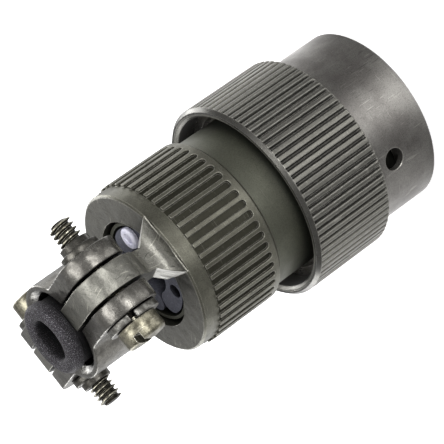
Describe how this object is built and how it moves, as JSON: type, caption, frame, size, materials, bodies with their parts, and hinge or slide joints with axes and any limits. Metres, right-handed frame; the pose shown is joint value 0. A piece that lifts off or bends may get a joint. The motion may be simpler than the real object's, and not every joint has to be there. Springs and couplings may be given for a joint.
{
  "type": "bayonet circular connector plug",
  "caption": "Cylindrical bayonet connector plug with ribbed coupling ring, grooved back nut and a two-bar cable clamp held by slotted screws.",
  "frame": {"origin": "centre of the coupling ring's front rim, on which the plug stands", "axes": "+Z along the connector axis towards the cable end, +X along the clamp screws, +Y towards one strain relief arm"},
  "size_m": [0.0262, 0.0278, 0.0519],
  "materials": {
    "body": "satin",
    "rubber": "matte",
    "grommet": "matte",
    "insulator": "matte",
    "plug": "satin",
    "contact": "polished",
    "steel": "satin",
    "screw": "satin"
  },
  "bodies": {
    "plug_shell": {"shell": "body", "peripheral_seal": "rubber", "insert": "insulator", "contact_1": "contact", "contact_2": "contact", "contact_3": "contact", "grommet": "grommet", "sealing_plug": "plug", "wave_washer": "steel"},
    "ring_carrier": {"thrust_washer": "steel"},
    "coupling": {"coupling_ring": "body", "retaining_ring": "steel"},
    "follower": {"grommet_follower": "steel"},
    "nut": {"back_nut": "body", "bushing": "rubber"},
    "clamp_a": {"saddle_a": "body", "clinch_nut_a": "body", "lock_washer_a": "steel"},
    "clamp_b": {"saddle_b": "body", "clinch_nut_b": "body", "lock_washer_b": "steel"},
    "screw_a": {"clamp_screw_a": "screw"},
    "screw_b": {"clamp_screw_b": "screw"}
  },
  "joints": [
    {"name": "coupling_draw", "type": "slide", "parent": "plug_shell", "child": "ring_carrier", "axis": [0, 0, -1], "range_m": [0, 0.0008], "stiffness_N_per_m": 5000, "springref_m": -0.0008, "deforming": ["wave_washer"]},
    {"name": "coupling_turn", "type": "hinge", "parent": "ring_carrier", "child": "coupling", "pos_m": [0, 0, 0], "axis": [0, 0, 1], "continuous": true},
    {"name": "nut_travel", "type": "slide", "parent": "plug_shell", "child": "follower", "axis": [0, 0, 1], "range_m": [0, 0.00635]},
    {"name": "nut_turn", "type": "hinge", "parent": "follower", "child": "nut", "pos_m": [0, 0, 0.03], "axis": [0, 0, 1], "range_deg": [0, 1800]},
    {"name": "saddle_a_open", "type": "slide", "parent": "nut", "child": "clamp_a", "axis": [-1, 0, 0], "range_m": [0, 0.0008]},
    {"name": "saddle_b_open", "type": "slide", "parent": "nut", "child": "clamp_b", "axis": [1, 0, 0], "range_m": [0, 0.0008]},
    {"name": "screw_b_turn", "type": "hinge", "parent": "clamp_b", "child": "screw_b", "pos_m": [0, 0.0101, 0.0461], "axis": [1, 0, 0], "range_deg": [0, 907.6]},
    {"name": "screw_a_turn", "type": "hinge", "parent": "clamp_a", "child": "screw_a", "pos_m": [0, -0.0101, 0.0461], "axis": [-1, 0, 0], "range_deg": [0, 907.6]}
  ],
  "couplings": [
    {"joint": "nut_travel", "follows": "nut_turn", "m_per_rad": 0.00020213},
    {"joint": "saddle_a_open", "follows": "saddle_b_open", "ratio": 1},
    {"joint": "screw_b_turn", "follows": "saddle_b_open", "rad_per_m": 19790},
    {"joint": "screw_a_turn", "follows": "saddle_b_open", "rad_per_m": 19790}
  ]
}
